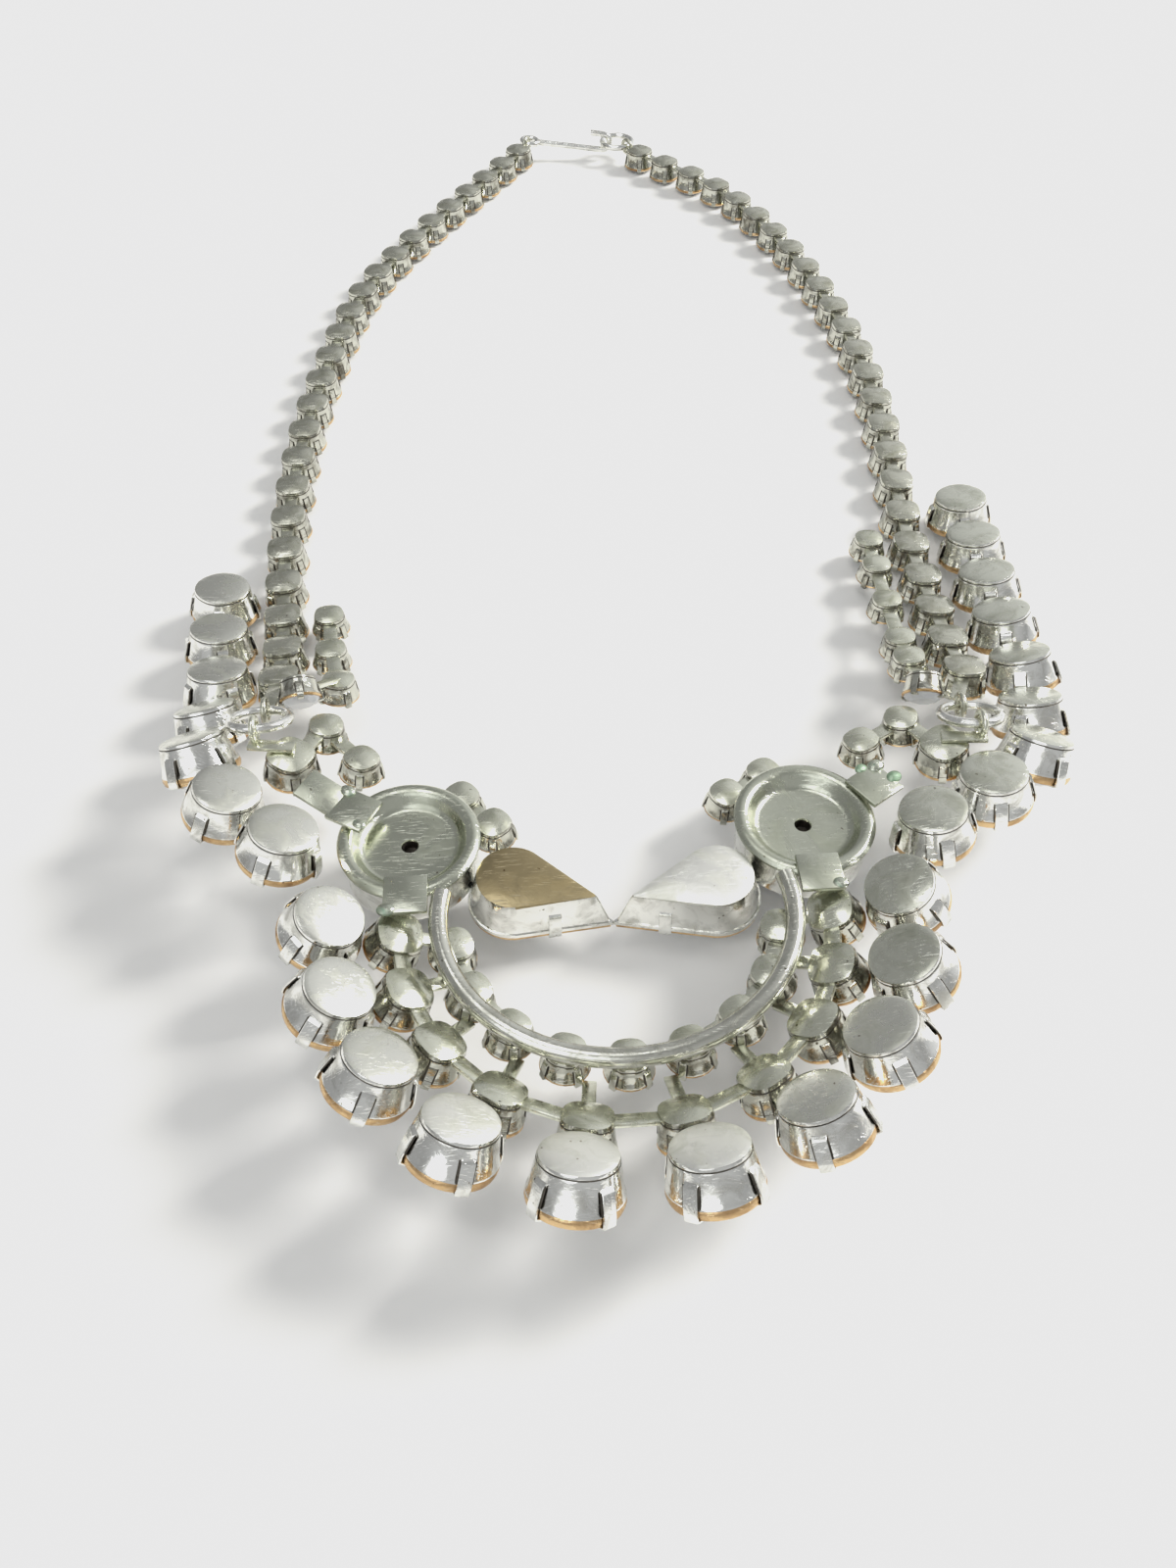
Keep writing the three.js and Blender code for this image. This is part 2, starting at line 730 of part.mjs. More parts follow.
// The middle of the eye at the end of a chain, and the way that chain runs
function chainEnd(word) {
  const last = chainSeats(word).pop();
  const spot = new THREE.Vector3(chainEyeReach, 0, -link.sink).applyMatrix4(seatMatrix(last));
  return { spot, ahead: new THREE.Vector3(1, 0, 0).transformDirection(seatMatrix(last)) };
}

function buildClasp() {
  const left = chainEnd('left');
  const right = chainEnd('right');
  const loopMiddle = left.spot.clone().addScaledVector(left.ahead, hook.loopRadius);
  const ringMiddle = right.spot.clone().addScaledVector(right.ahead, ring.radius);
  const span = ringMiddle.clone().sub(loopMiddle);
  const reach = span.length() - ring.radius;
  const dip = Math.asin(hook.bend / reach);

  const loop = torus(hook.loopRadius, ring.wire, ring.wireSides, ring.steps);
  const wire = tube(new HookWire(reach - hook.loopRadius), hook.steps, ring.wire, ring.wireSides);
  wire.translate(hook.loopRadius, 0, 0);
  const claspHook = addMesh('clasp_hook', geometryOf(fused([loop, wire])), silver);
  claspHook.rotation.set(0, dip, Math.atan2(span.y, span.x), 'ZYX');
  claspHook.position.copy(loopMiddle);

  const claspRing = torus(ring.radius, ring.wire, ring.wireSides, ring.steps);
  addMesh('clasp_ring', claspRing, silver).position.copy(ringMiddle);
}

buildCrescent();
buildWings();
buildDiscs();
buildPears();
buildPlates();
buildSides();
buildClasp();

// The origin is on the surface, under the middle of the necklace
const extent = new THREE.Box3().setFromObject(root, true);
const middle = extent.getCenter(new THREE.Vector3());
root.position.set(-middle.x, -middle.y, -extent.min.z);

export default root;
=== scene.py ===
import math

import bmesh
import bpy
from mathutils import Matrix, Vector


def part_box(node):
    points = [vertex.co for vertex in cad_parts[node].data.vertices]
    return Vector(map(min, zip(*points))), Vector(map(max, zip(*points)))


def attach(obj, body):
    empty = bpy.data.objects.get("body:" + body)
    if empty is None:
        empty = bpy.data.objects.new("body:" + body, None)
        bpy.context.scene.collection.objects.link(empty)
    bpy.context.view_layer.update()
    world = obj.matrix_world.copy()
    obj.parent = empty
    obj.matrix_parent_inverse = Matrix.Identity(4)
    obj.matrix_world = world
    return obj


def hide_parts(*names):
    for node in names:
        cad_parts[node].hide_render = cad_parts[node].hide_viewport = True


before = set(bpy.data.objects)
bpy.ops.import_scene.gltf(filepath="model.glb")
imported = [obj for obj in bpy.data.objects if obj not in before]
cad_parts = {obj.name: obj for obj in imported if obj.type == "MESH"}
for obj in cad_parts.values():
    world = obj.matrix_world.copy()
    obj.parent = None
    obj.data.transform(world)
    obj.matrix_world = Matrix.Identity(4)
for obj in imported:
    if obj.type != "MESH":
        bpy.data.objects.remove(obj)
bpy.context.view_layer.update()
print("frame loaded")

# shapes are drawn in millimetres and placed in metres
mm = 0.001


# the settings are found by the flat tables of their stones on the frame's solids

settings = {  # areas in square millimetres, heights from the table to the back in millimetres
    "large": {"tableArea": 17.715, "height": 5.1},
    "medium": {"tableArea": 7.7, "height": 4.0},
    "small": {"tableArea": 5.386, "height": 3.2},
}
areaSlack = 0.02  # of a table's area
steepest = -0.3  # a table's normal points at least this far down
samePlane = 0.9999  # the cosine between two faces of one flat


def flatFaces(node):
    bm = bmesh.new()
    bm.from_mesh(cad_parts[node].data)
    bmesh.ops.remove_doubles(bm, verts=bm.verts, dist=1e-6)
    seen = set()
    flats = []
    for first in bm.faces:
        if first in seen:
            continue
        seen.add(first)
        patch = [first]
        for face in patch:
            for edge in face.edges:
                for other in edge.link_faces:
                    if other not in seen and other.normal.dot(first.normal) > samePlane:
                        seen.add(other)
                        patch.append(other)
        area = sum(face.calc_area() for face in patch)
        corners = {vert for face in patch for vert in face.verts}
        middle = sum((vert.co for vert in corners), Vector()) / len(corners)
        flats.append((area / mm ** 2, middle, first.normal.copy()))
    bm.free()
    return flats


def settingBacks(node, sizes=("large", "medium", "small")):
    found = []
    for area, middle, normal in flatFaces(node):
        for size in sizes:
            wanted = settings[size]["tableArea"]
            if abs(area - wanted) < areaSlack * wanted and normal.z < steepest:
                back = middle - normal * settings[size]["height"] * mm
                found.append({"size": size, "middle": back, "normal": -normal})
    return found


def inRow(backs, start):
    # walks from the back nearest to start to each next one
    left = list(backs)
    row = [min(left, key=lambda back: (back["middle"] - start).length)]
    left.remove(row[0])
    while left:
        here = row[-1]["middle"]
        row.append(min(left, key=lambda back: (back["middle"] - here).length))
        left.remove(row[-1])
    return row


def seatMatrix(middle, normal, ahead):
    up = normal.normalized()
    along = (ahead - up * ahead.dot(up)).normalized()
    side = up.cross(along)
    turn = Matrix((along, side, up)).transposed().to_4x4()
    return Matrix.Translation(middle) @ turn @ Matrix.Scale(mm, 4)


# building shapes


def newShape(profile, steps):
    # a profile of radius and height, spun about the upright axis
    bm = bmesh.new()
    verts = [bm.verts.new((radius, 0, height)) for radius, height in profile]
    edges = [bm.edges.new(pair) for pair in zip(verts, verts[1:])]
    bmesh.ops.spin(bm, geom=verts + edges, cent=(0, 0, 0), axis=(0, 0, 1), angle=math.tau,
                   steps=steps, use_merge=True)
    return closed(bm)


def closed(bm):
    bmesh.ops.remove_doubles(bm, verts=bm.verts, dist=1e-5)
    bmesh.ops.dissolve_degenerate(bm, edges=bm.edges, dist=1e-5)
    bmesh.ops.recalc_face_normals(bm, faces=bm.faces)
    return bm


def asMesh(bm, name):
    mesh = bpy.data.meshes.new(name)
    bm.to_mesh(mesh)
    bm.free()
    return mesh


def addShape(bm, mesh, matrix):
    placed = mesh.copy()
    placed.transform(matrix)
    bm.from_mesh(placed)
    bpy.data.meshes.remove(placed)


def ringShape(radius, wire, steps, sides):
    bm = bmesh.new()
    start = Matrix.Translation((radius, 0, 0)) @ Matrix.Rotation(math.pi / 2, 4, "X")
    bmesh.ops.create_circle(bm, segments=sides, radius=wire, matrix=start)
    bmesh.ops.spin(bm, geom=bm.verts[:] + bm.edges[:], cent=(0, 0, 0), axis=(0, 0, 1),
                   angle=math.tau, steps=steps, use_merge=True)
    return closed(bm)


def sweptShape(points, wire, sides):
    # a round wire along a line of points, closed at both ends
    points = [Vector(point) for point in points]
    frames = []
    for i, point in enumerate(points):
        ahead = (points[min(i + 1, len(points) - 1)] - points[max(i - 1, 0)]).normalized()
        frames.append(Matrix.Translation(point) @ ahead.to_track_quat("Z", "Y").to_matrix().to_4x4())
    bm = bmesh.new()
    bmesh.ops.create_circle(bm, cap_ends=True, segments=sides, radius=wire, matrix=frames[0])
    edges = bm.edges[:]
    for before, after in zip(frames, frames[1:]):
        grown = bmesh.ops.extrude_edge_only(bm, edges=edges)["geom"]
        verts = [item for item in grown if isinstance(item, bmesh.types.BMVert)]
        edges = [item for item in grown if isinstance(item, bmesh.types.BMEdge)]
        bmesh.ops.transform(bm, matrix=after @ before.inverted(), verts=verts)
    bmesh.ops.holes_fill(bm, edges=edges)
    return closed(bm)


def barShape(length, width, thickness, edge=0.12):
    bm = bmesh.new()
    bmesh.ops.create_cube(bm, size=1, matrix=Matrix.Diagonal((length, width, thickness, 1)))
    bmesh.ops.bevel(bm, geom=bm.edges[:], offset=edge, affect="EDGES", segments=2, profile=0.5,
                    material=-1)
    return closed(bm)


def makePiece(name, bm, materials, nodes=(), crisp=False, sharp=40):
    mesh = asMesh(bm, name)
    for material in materials:
        mesh.materials.append(material)
    piece = bpy.data.objects.new(name, mesh)
    bpy.context.scene.collection.objects.link(piece)
    mesh.polygons.foreach_set("use_smooth", [not crisp] * len(mesh.polygons))
    if not crisp:
        mesh.set_sharp_from_angle(angle=math.radians(sharp))
    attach(piece, "root")
    if nodes:
        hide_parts(*nodes)


# materials: one node group of wear is shared by the metals


def newGroup(name, inputs, outputs):
    group = bpy.data.node_groups.new(name, "ShaderNodeTree")
    for word, kind, value in inputs:
        socket = group.interface.new_socket(word, in_out="INPUT", socket_type=kind)
        socket.default_value = value
    for word, kind in outputs:
        group.interface.new_socket(word, in_out="OUTPUT", socket_type=kind)
    return group, group.nodes.new("NodeGroupInput"), group.nodes.new("NodeGroupOutput")


def addNode(tree, kind, links=None, **values):
    node = tree.nodes.new(kind)
    for word, value in values.items():
        setattr(node, word, value)
    for socket, value in (links or {}).items():
        if isinstance(value, bpy.types.NodeSocket):
            tree.links.new(value, node.inputs[socket])
        else:
            node.inputs[socket].default_value = value
    return node


def spread(tree, value, low, high, bottom=0.0, top=1.0):
    return addNode(tree, "ShaderNodeMapRange", {0: value, 1: low, 2: high, 3: bottom, 4: top}).outputs[0]


def mixed(tree, factor, first, second):
    node = addNode(tree, "ShaderNodeMix", {0: factor, 6: first, 7: second}, data_type="RGBA")
    return node.outputs[2]


# smudges, fine scratches and specks of dirt on handled metal
wear = {"smudgeFrom": 0.46, "smudgeTo": 0.68, "scratchFrom": 0.6, "scratchTo": 0.72, "speckFrom": 0.765,
        "speckTo": 0.8, "scratchTurn": (0.3, 0.5, 0.9), "scratchScale": (500.0, 9000.0, 2500.0),
        "speckScale": 1900.0, "bumpDepth": 0.00015}
wearGroup, wearIn, wearOut = newGroup(
    "handledWear",
    [("Smudge size", "NodeSocketFloat", 260.0), ("Smudge amount", "NodeSocketFloat", 0.5),
     ("Scratch amount", "NodeSocketFloat", 0.4)],
    [("Smudge", "NodeSocketFloat"), ("Scratch", "NodeSocketFloat"), ("Speck", "NodeSocketFloat"),
     ("Height", "NodeSocketFloat")],
)
wearPlace = addNode(wearGroup, "ShaderNodeTexCoord").outputs["Object"]
smudgeNoise = addNode(wearGroup, "ShaderNodeTexNoise",
                      {"Vector": wearPlace, "Scale": wearIn.outputs["Smudge size"], "Detail": 5.0,
                       "Roughness": 0.62, "Distortion": 0.7}).outputs[0]
smudge = addNode(wearGroup, "ShaderNodeMath",
                 {0: spread(wearGroup, smudgeNoise, wear["smudgeFrom"], wear["smudgeTo"]),
                  1: wearIn.outputs["Smudge amount"]},
                 operation="MULTIPLY").outputs[0]
stretched = addNode(wearGroup, "ShaderNodeMapping",
                    {"Vector": wearPlace, "Rotation": wear["scratchTurn"], "Scale": wear["scratchScale"]})
scratchNoise = addNode(wearGroup, "ShaderNodeTexNoise",
                       {"Vector": stretched.outputs[0], "Scale": 1.0, "Detail": 2.0}).outputs[0]
scratch = addNode(wearGroup, "ShaderNodeMath",
                  {0: spread(wearGroup, scratchNoise, wear["scratchFrom"], wear["scratchTo"]),
                   1: wearIn.outputs["Scratch amount"]},
                  operation="MULTIPLY").outputs[0]
speckNoise = addNode(wearGroup, "ShaderNodeTexNoise",
                     {"Vector": wearPlace, "Scale": wear["speckScale"], "Detail": 1.0}).outputs[0]
wearGroup.links.new(smudge, wearOut.inputs["Smudge"])
wearGroup.links.new(scratch, wearOut.inputs["Scratch"])
wearGroup.links.new(spread(wearGroup, speckNoise, wear["speckFrom"], wear["speckTo"]),
                    wearOut.inputs["Speck"])
wearGroup.links.new(
    addNode(wearGroup, "ShaderNodeMath", {0: smudgeNoise, 1: scratch}, operation="SUBTRACT").outputs[0],
    wearOut.inputs["Height"],
)


def metalMaterial(name, look):
    material = bpy.data.materials.new(name)
    material.use_nodes = True
    tree = material.node_tree
    shader = tree.nodes["Principled BSDF"]
    shader.inputs["Metallic"].default_value = 1.0
    worn = addNode(tree, "ShaderNodeGroup", node_tree=wearGroup)
    worn.inputs["Smudge size"].default_value = look["smudgeSize"]
    worn.inputs["Smudge amount"].default_value = look["smudge"]
    worn.inputs["Scratch amount"].default_value = look["scratch"]
    colour = mixed(tree, worn.outputs["Smudge"], (*look["colour"], 1), (*look["dull"], 1))
    colour = mixed(tree, worn.outputs["Scratch"], colour, (*look["bare"], 1))
    colour = mixed(tree, worn.outputs["Speck"], colour, (*look["speck"], 1))
    tree.links.new(colour, shader.inputs["Base Color"])
    low, high = look["roughness"]
    tree.links.new(spread(tree, worn.outputs["Smudge"], 0.0, 0.6, low, high), shader.inputs["Roughness"])
    bump = addNode(tree, "ShaderNodeBump",
                   {"Height": worn.outputs["Height"], "Strength": look["bump"],
                    "Distance": wear["bumpDepth"]})
    tree.links.new(bump.outputs[0], shader.inputs["Normal"])
    return material


metals = {
    "satinBack": {"colour": (0.80, 0.80, 0.72), "dull": (0.55, 0.56, 0.47), "bare": (0.92, 0.92, 0.87),
                  "speck": (0.28, 0.25, 0.19), "smudgeSize": 300, "smudge": 0.8, "scratch": 0.25,
                  "roughness": (0.22, 0.4), "bump": 0.3},
    # painted shade: a darker copy of the satin back, standing in for the dimmer reflection on the backs up
    # the right side
    "paintedShadeBack": {"colour": (0.71, 0.72, 0.62), "dull": (0.38, 0.39, 0.31), "bare": (0.84, 0.84, 0.78),
                   "speck": (0.20, 0.18, 0.13), "smudgeSize": 300, "smudge": 0.8, "scratch": 0.3,
                   "roughness": (0.2, 0.36), "bump": 0.3},
    # painted light: a paler copy of the satin back, standing in for the brighter reflection on the lowest
    # backs and the right pear
    "paintedLightBack": {"colour": (0.96, 0.96, 0.89), "dull": (0.62, 0.63, 0.54), "bare": (0.98, 0.98, 0.95),
                 "speck": (0.40, 0.36, 0.28), "smudgeSize": 340, "smudge": 0.8, "scratch": 0.5,
                 "roughness": (0.38, 0.55), "bump": 0.35},
    "brightWall": {"colour": (0.92, 0.92, 0.87), "dull": (0.40, 0.39, 0.34), "bare": (0.97, 0.97, 0.94),
                   "speck": (0.16, 0.14, 0.10), "smudgeSize": 400, "smudge": 0.75, "scratch": 0.25,
                   "roughness": (0.1, 0.32), "bump": 0.3},
    "chainMetal": {"colour": (0.62, 0.62, 0.52), "dull": (0.24, 0.24, 0.18), "bare": (0.86, 0.86, 0.79),
                   "speck": (0.12, 0.10, 0.07), "smudgeSize": 460, "smudge": 0.85, "scratch": 0.3,
                   "roughness": (0.18, 0.4), "bump": 0.3},
    "rowBack": {"colour": (0.74, 0.75, 0.62), "dull": (0.32, 0.33, 0.24), "bare": (0.88, 0.88, 0.80),
                "speck": (0.13, 0.12, 0.08), "smudgeSize": 420, "smudge": 0.8, "scratch": 0.4,
                "roughness": (0.2, 0.4), "bump": 0.2},
    # painted shade: the walls of the smaller cups are darkened to stand in for the shade among the crowded
    # rows
    "paintedShadeWall": {"colour": (0.60, 0.60, 0.52), "dull": (0.14, 0.13, 0.10), "bare": (0.90, 0.90, 0.85),
                "speck": (0.08, 0.07, 0.05), "smudgeSize": 450, "smudge": 1.0, "scratch": 0.25,
                "roughness": (0.08, 0.28), "bump": 0.3},
    "dishMetal": {"colour": (0.55, 0.57, 0.47), "dull": (0.34, 0.36, 0.28), "bare": (0.78, 0.78, 0.71),
                  "speck": (0.14, 0.12, 0.08), "smudgeSize": 200, "smudge": 0.8, "scratch": 0.2,
                  "roughness": (0.2, 0.38), "bump": 0.35},
    "rodMetal": {"colour": (0.68, 0.68, 0.60), "dull": (0.30, 0.30, 0.25), "bare": (0.90, 0.90, 0.85),
                 "speck": (0.14, 0.12, 0.08), "smudgeSize": 380, "smudge": 0.75, "scratch": 0.25,
                 "roughness": (0.13, 0.3), "bump": 0.2},
    "tanBack": {"colour": (0.37, 0.30, 0.17), "dull": (0.26, 0.21, 0.11), "bare": (0.62, 0.56, 0.42),
                "speck": (0.14, 0.10, 0.05), "smudgeSize": 300, "smudge": 0.8, "scratch": 0.3,
                "roughness": (0.3, 0.5), "bump": 0.4},
    "solderMetal": {"colour": (0.54, 0.57, 0.47), "dull": (0.20, 0.30, 0.22), "bare": (0.82, 0.83, 0.78),
                    "speck": (0.10, 0.20, 0.14), "smudgeSize": 600, "smudge": 0.9, "scratch": 0.2,
                    "roughness": (0.2, 0.5), "bump": 0.6},
    "verdigris": {"colour": (0.36, 0.48, 0.34), "dull": (0.20, 0.32, 0.22), "bare": (0.66, 0.74, 0.62),
                  "speck": (0.10, 0.18, 0.12), "smudgeSize": 700, "smudge": 0.9, "scratch": 0.2,
                  "roughness": (0.35, 0.7), "bump": 0.9},
    "foil": {"colour": (0.74, 0.50, 0.26), "dull": (0.30, 0.17, 0.08), "bare": (0.95, 0.82, 0.58),
             "speck": (0.16, 0.08, 0.04), "smudgeSize": 260, "smudge": 1.0, "scratch": 0.3,
             "roughness": (0.25, 0.45), "bump": 0.5},
    # painted shade: near-black metal put in the prong slots, the line under a back's edge and the disc's
    # hole, where shade falls
    "paintedShade": {"colour": (0.10, 0.09, 0.075), "dull": (0.04, 0.036, 0.03), "bare": (0.2, 0.18, 0.15),
                 "speck": (0.03, 0.03, 0.02), "smudgeSize": 500, "smudge": 0.8, "scratch": 0.3,
                 "roughness": (0.4, 0.7), "bump": 0.5},
}
metal = {name: metalMaterial(name, look) for name, look in metals.items()}


stoneLook = {"shade": (0.80, 0.83, 0.86), "light": (0.93, 0.94, 0.95), "cloudScale": 300.0,
             "roughness": (0.02, 0.08), "ior": 1.56, "clear": 0.35, "coat": 0.6}


def stoneMaterial():
    material = bpy.data.materials.new("clearStone")
    material.use_nodes = True
    tree = material.node_tree
    shader = tree.nodes["Principled BSDF"]
    place = addNode(tree, "ShaderNodeTexCoord").outputs["Object"]
    cloud = addNode(tree, "ShaderNodeTexNoise",
                    {"Vector": place, "Scale": stoneLook["cloudScale"], "Detail": 2.0}).outputs[0]
    colour = mixed(tree, spread(tree, cloud, 0.4, 0.65), (*stoneLook["shade"], 1), (*stoneLook["light"], 1))
    tree.links.new(colour, shader.inputs["Base Color"])
    low, high = stoneLook["roughness"]
    tree.links.new(spread(tree, cloud, 0.3, 0.7, low, high), shader.inputs["Roughness"])
    shader.inputs["Metallic"].default_value = 0.0
    shader.inputs["IOR"].default_value = stoneLook["ior"]
    shader.inputs["Transmission Weight"].default_value = stoneLook["clear"]
    shader.inputs["Coat Weight"].default_value = stoneLook["coat"]
    return material


clearStone = stoneMaterial()
print("materials made")


# set stones: a closed cup, four prongs, a foil edge and a cut stone

# the parts of a cup's mesh that take each of its materials; the third part is painted shade
backPart, wallPart, paintedShadePart = 0, 1, 2

cups = {
    "large": {"back": 3.4, "rim": 4.05, "wall": 3.4, "edge": 0.36, "dome": 0.2, "square": 2.15,
              "squareShare": 0.4, "stone": 1.7, "table": 0.6, "band": 0.85, "prongWidth": 1.25,
              "prongHook": 0.95, "prongProud": 0.24, "steps": 40},
    "medium": {"back": 2.38, "rim": 2.75, "wall": 2.9, "edge": 0.45, "dome": 0.2, "square": 2.9,
               "squareShare": 1, "stone": 1.1, "table": 0.6, "band": 0.5, "prongWidth": 0.8,
               "prongHook": 0.6, "prongProud": 0.12, "steps": 28},
    "small": {"back": 1.88, "rim": 2.3, "wall": 2.3, "edge": 0.38, "dome": 0.15, "square": 2.6,
              "squareShare": 1, "stone": 0.9, "table": 0.6, "band": 0.28, "prongWidth": 0.7,
              "prongHook": 0.5, "prongProud": 0.1, "steps": 24},
}
shadeSeam = {"depth": 0.14, "groove": 0.02}  # painted shade: a dark line under the back's edge, where the crease is shaded
shadeSlots = {"margin": 0.14, "thickness": 0.1}  # painted shade: dark strips beside a prong, where the slits are shaded


def cupShape(cup):
    back, rim, wall, edge = cup["back"], cup["rim"], cup["wall"], cup["edge"]
    domedBack = [(0, cup["dome"]), (0.6 * back, 0.8 * cup["dome"]), (back - 1.5 * edge, 0.03),
                 (back - 0.9 * edge, -0.02), (back - 0.3 * edge, -0.28 * edge), (back, -edge)]
    shadeSeamLine = [(back - shadeSeam["groove"], -edge - 0.5 * shadeSeam["depth"]),
                (back + shadeSeam["groove"], -edge - shadeSeam["depth"])]
    wallLine = [(back + 0.08 * (rim - back), -2 * edge), (rim - 0.12, 0.35 - wall), (rim, 0.2 - wall)]
    rolledRim = [(rim + 0.05, -wall), (rim - 0.05, -wall - 0.06), (rim - 0.22, -wall)]
    inside = [(rim - 0.3, 0.5 - wall), (0, 0.5 - wall)]
    bm = newShape(domedBack + shadeSeamLine + wallLine + rolledRim + inside, cup["steps"])
    # the ring just under the back's edge is painted shade
    for face in bm.faces:
        height = face.calc_center_median().z
        if height > -0.3 * edge:
            face.material_index = backPart
        elif -edge - shadeSeam["depth"] < height < -edge:
            face.material_index = paintedShadePart
        else:
            face.material_index = wallPart
    # the back is a little square, and the wall goes over to the round rim
    for vert in bm.verts:
        reach = vert.co.xy.length
        if reach > 0.01:
            share = cup["squareShare"] * max(0.0, 1 + vert.co.z / wall)
            power = cup["square"]
            turn = vert.co.xy / reach
            squared = (abs(turn.x) ** power + abs(turn.y) ** power) ** (-1 / power)
            vert.co.xy *= 1 + share * (squared - 1)
    addProngs(bm, cup)
    return asMesh(bm, "cup")


def tabStrip(bm, path, width, thickness=0.2, edge=0.04):
    # a folded metal strip along a path of radius and height
    verts = [bm.verts.new((radius, -width / 2, height)) for radius, height in path]
    edges = [bm.edges.new(pair) for pair in zip(verts, verts[1:])]
    grown = bmesh.ops.extrude_edge_only(bm, edges=edges)["geom"]
    moved = [item for item in grown if isinstance(item, bmesh.types.BMVert)]
    bmesh.ops.translate(bm, vec=(0, width, 0), verts=moved)
    bmesh.ops.recalc_face_normals(bm, faces=bm.faces)
    bmesh.ops.solidify(bm, geom=bm.faces[:], thickness=thickness)
    closed(bm)
    bmesh.ops.bevel(bm, geom=bm.edges[:], offset=edge, affect="EDGES", segments=1, profile=0.5,
                    material=-1)


def addProngs(bm, cup):
    # a strip that stands off the wall, leaves it at the rim and folds over the stone
    rim, wall, back = cup["rim"], cup["wall"], cup["back"]
    proud, hook = cup["prongProud"], cup["prongHook"]
    slope = rim - back
    downWall = [(back + 0.3 * slope - 0.05, -0.36 * wall), (back + 0.45 * slope + proud, -0.46 * wall),
                (rim + proud, -0.9 * wall), (rim + proud + 0.12, -wall - 0.15)]
    overStone = [(rim + proud + 0.14, -wall - 0.95 * hook), (rim - 0.2 * hook, -wall - 1.16 * hook),
                 (rim - hook, -wall - 1.22 * hook)]
    # beside each prong a thin dark strip is laid on the wall as painted shade
    shadeSlotLine = [(back + 0.4 * slope - 0.03, -0.42 * wall), (rim + 0.06, -0.97 * wall)]
    prong, slot = bmesh.new(), bmesh.new()
    tabStrip(prong, downWall + overStone, cup["prongWidth"])
    tabStrip(slot, shadeSlotLine, cup["prongWidth"] + 2 * shadeSlots["margin"], shadeSlots["thickness"])
    for face in prong.faces:
        face.material_index = wallPart
    for face in slot.faces:
        face.material_index = paintedShadePart
    for mesh in (asMesh(prong, "prong"), asMesh(slot, "slot")):
        for i in range(4):
            addShape(bm, mesh, Matrix.Rotation((i + 0.5) * math.pi / 2, 4, "Z"))


def foilShape(cup):
    # the stone's foiled edge, seen as a band below the rim
    rim, wall, band = cup["rim"], cup["wall"], cup["band"]
    bm = newShape([(rim - 0.2, 0.2 - wall), (rim + 0.03, -wall - 0.04), (rim + 0.1, -wall - 0.5 * band),
                   (rim - 0.02, -wall - band), (rim - 0.5, -wall - band), (rim - 0.5, 0.2 - wall),
                   (rim - 0.2, 0.2 - wall)], cup["steps"])
    return asMesh(bm, "foil")


def cutStone(girdle, base, height, table):
    # girdle, kite corners and table are hulled, which gives the flat facets
    bm = bmesh.new()
    levels = [(16, girdle, base + 0.15, 0), (16, girdle, base - 0.1, 0),
              (8, 0.84 * girdle, base - 0.1 - 0.5 * height, 22.5), (8, table * girdle, base - height, 0)]
    for count, radius, level, turn in levels:
        place = Matrix.Translation((0, 0, level)) @ Matrix.Rotation(math.radians(turn), 4, "Z")
        bmesh.ops.create_circle(bm, segments=count, radius=radius, matrix=place)
    return bm


def hulled(bm):
    bmesh.ops.convex_hull(bm, input=bm.verts)
    bmesh.ops.delete(bm, geom=[edge for edge in bm.edges if not edge.link_faces], context="EDGES")
    bmesh.ops.delete(bm, geom=[vert for vert in bm.verts if not vert.link_faces], context="VERTS")
    bmesh.ops.dissolve_limit(bm, angle_limit=math.radians(0.5), verts=bm.verts, edges=bm.edges)
    bmesh.ops.recalc_face_normals(bm, faces=bm.faces)
    return bm


def stoneShape(cup):
    girdle, base = cup["rim"] - 0.15, -cup["wall"] - cup["band"]
    circles = cutStone(girdle, base, cup["stone"] - cup["band"], cup["table"])
    return asMesh(hulled(circles), "stone")


cupMesh = {size: cupShape(cup) for size, cup in cups.items()}
foilMesh = {size: foilShape(cup) for size, cup in cups.items()}
stoneMesh = {size: stoneShape(cup) for size, cup in cups.items()}


def makeSetRow(name, seats, backMetal, wallMetal, extras=()):
    # seats are (size, matrix); extras are (mesh, matrix) of bars, eyes and necks
    body, foils, stones = bmesh.new(), bmesh.new(), bmesh.new()
    for size, matrix in seats:
        addShape(body, cupMesh[size], matrix)
        addShape(foils, foilMesh[size], matrix)
        addShape(stones, stoneMesh[size], matrix)
    for mesh, matrix in extras:
        addShape(body, mesh, matrix)
    # the cups' third material is painted shade
    makePiece(f"{name}_cups", body, [backMetal, wallMetal, metal["paintedShade"]], [name])
    makePiece(f"{name}_foil", foils, [metal["foil"]])
    makePiece(f"{name}_stones", stones, [clearStone], crisp=True)


# outer stones, each with its own cup

# painted light and shade: the lowest backs get a paler copy of the metal and those up the right side a
# darker copy, for their brighter and dimmer reflections
backPaintedLight = {f"outer_stone_right_{i:02}": "paintedShadeBack" for i in range(4, 15)}
backPaintedLight.update({node: "paintedLightBack" for node in ("outer_stone_left_01", "outer_stone_left_02",
                                                "outer_stone_right_01")})
outerNodes = sorted(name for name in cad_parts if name.startswith("outer_stone"))
for node in outerNodes:
    back = next(back for back in settingBacks(node) if back["size"] == "large")
    leans = back["normal"].xy.length > 0.01
    ahead = Vector((back["normal"].y, -back["normal"].x, 0)) if leans else Vector((1, 0, 0))
    seats = [("large", seatMatrix(back["middle"], back["normal"], ahead))]
    makeSetRow(node, seats, metal[backPaintedLight.get(node, "satinBack")], metal["brightWall"])
print("outer stones made", len(outerNodes))


# rows and chains of smaller settings with flat bars between them

